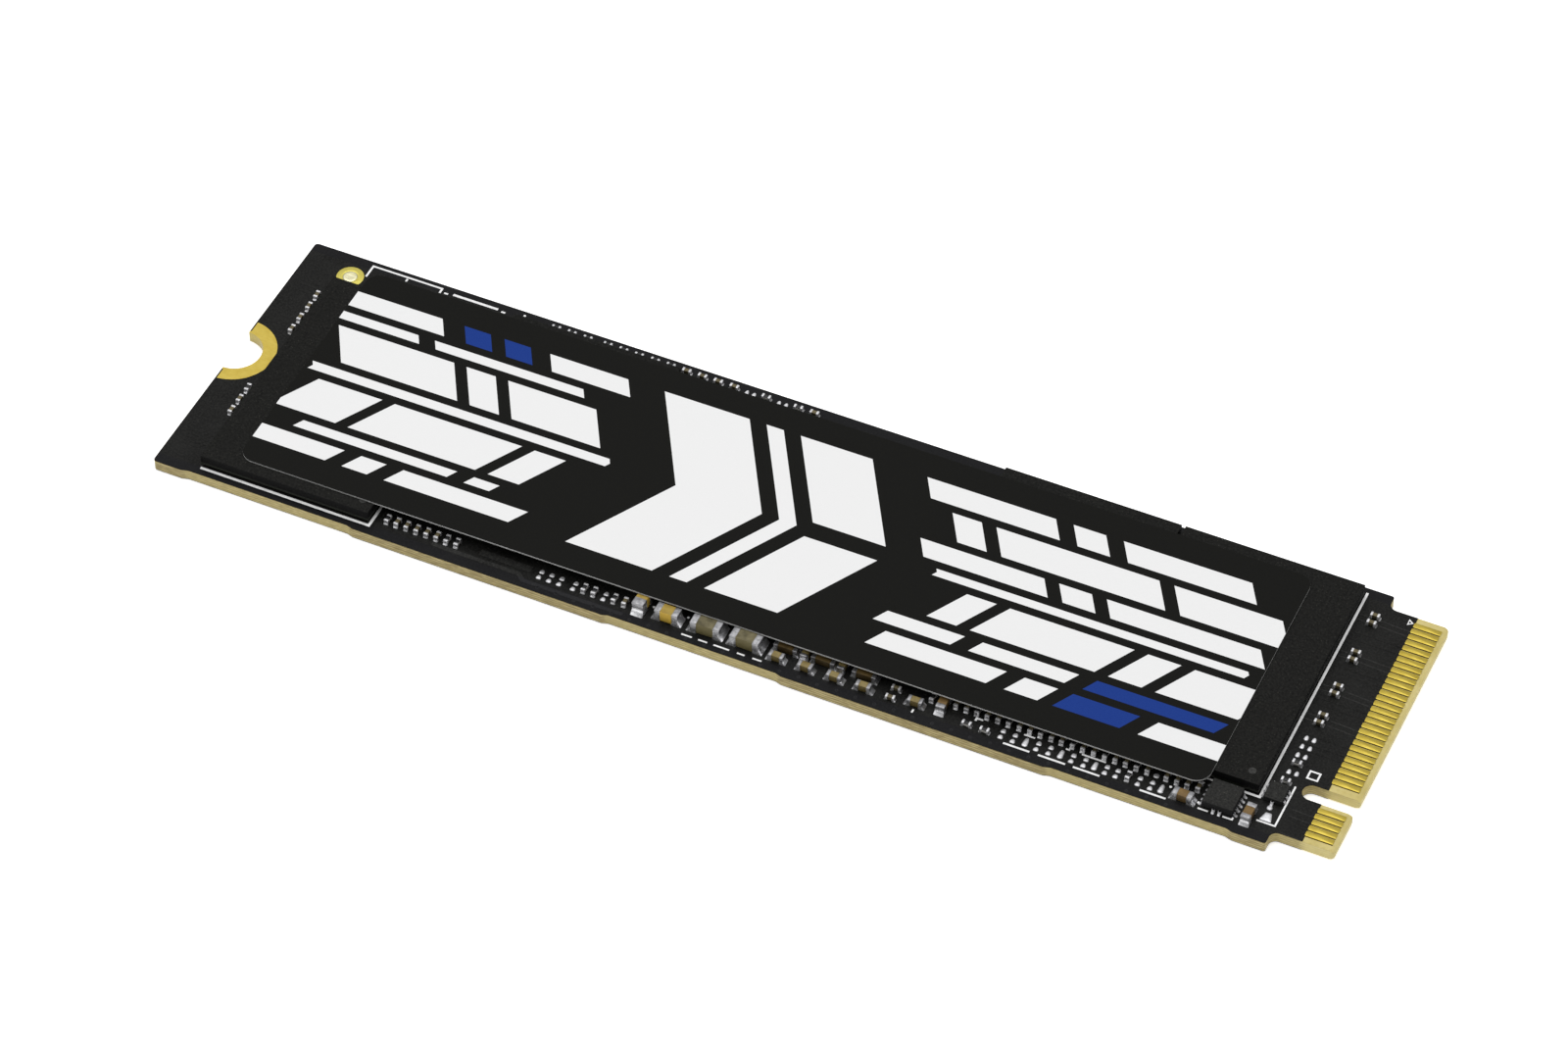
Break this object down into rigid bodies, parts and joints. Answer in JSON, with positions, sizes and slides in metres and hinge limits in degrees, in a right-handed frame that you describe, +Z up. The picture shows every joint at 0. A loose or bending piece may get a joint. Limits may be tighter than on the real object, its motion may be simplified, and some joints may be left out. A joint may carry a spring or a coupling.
{
  "type": "solid state drive",
  "caption": "Thin bare-card solid state drive: a narrow circuit board with flat memory chips under one printed label, gold edge contacts at one end and a half-round screw notch at the other.",
  "frame": {"origin": "on the underside of the circuit board, under the middle of its 80 by 22 mm outline", "axes": "+X along the card from the screw notch to the edge connector, +Y across it away from the key slot, +Z up from the underside to the label"},
  "size_m": [0.08, 0.022, 0.0018],
  "materials": {
    "laminate": "glass-epoxy laminate, sawn edge",
    "solder_mask": "black satin lacquer with the copper showing through as faint relief",
    "gold": "hard gold over nickel, lightly brushed",
    "silkscreen_ink": "white printed ink",
    "tin": "tinned, satin",
    "solder_balls": "reflowed solder, bright",
    "mould_compound": "moulded epoxy, fine matte",
    "package_substrate": "dark laminate, sawn edge",
    "silicon": "polished silicon",
    "heat_compound": "grey paste",
    "nickel": "nickel plate, satin",
    "capacitor_ceramic": "fired ceramic, satin",
    "brown_ceramic": "fired ceramic, satin",
    "resistor_body": "black glaze over white ceramic",
    "ferrite": "pressed ferrite, matte",
    "crystal_ceramic": "dark ceramic, matte",
    "adhesive": "pressure-sensitive adhesive",
    "foil": "thin foil, cut edge bright",
    "label_print": "black printed film with white and blue geometric print, satin"
  },
  "bodies": {
    "root": {"bare_solder_pads": "tin", "cache_balls": "solder_balls", "cache_body": "mould_compound", "cache_substrate": "package_substrate", "circuit_board": "laminate", "controller_balls": "solder_balls", "controller_die": "silicon", "controller_heat_compound": "heat_compound", "controller_lid": "nickel", "controller_substrate": "package_substrate", "crystal_base": "crystal_ceramic", "crystal_lid": "tin", "edge_contacts_bottom": "gold", "edge_contacts_top": "gold", "ground_pad": "gold", "inductor_cores": "ferrite", "inductor_ends": "tin", "label_adhesive": "adhesive", "label_film": "label_print", "label_foil": "foil", "large_capacitor_bodies": "capacitor_ceramic", "large_capacitor_ends": "tin", "load_switch_body": "mould_compound", "load_switch_leads": "tin", "logic_chip_body": "mould_compound", "logic_chip_leads": "tin", "low_capacitor_bodies": "brown_ceramic", "low_capacitor_ends": "tin", "medium_capacitor_bodies": "capacitor_ceramic", "medium_capacitor_ends": "tin", "memory_balls_1": "solder_balls", "memory_balls_2": "solder_balls", "memory_balls_3": "solder_balls", "memory_balls_4": "solder_balls", "memory_body_1": "mould_compound", "memory_body_2": "mould_compound", "memory_body_3": "mould_compound", "memory_body_4": "mould_compound", "memory_substrate_1": "package_substrate", "memory_substrate_2": "package_substrate", "memory_substrate_3": "package_substrate", "memory_substrate_4": "package_substrate", "notch_plating": "gold", "power_manager_body": "mould_compound", "power_manager_leads": "tin", "silkscreen": "silkscreen_ink", "small_capacitor_bodies": "capacitor_ceramic", "small_capacitor_ends": "tin", "small_resistor_bodies": "resistor_body", "small_resistor_ends": "tin", "solder_joints": "tin", "solder_mask_bottom": "solder_mask", "solder_mask_top": "solder_mask"}
  },
  "joints": []
}
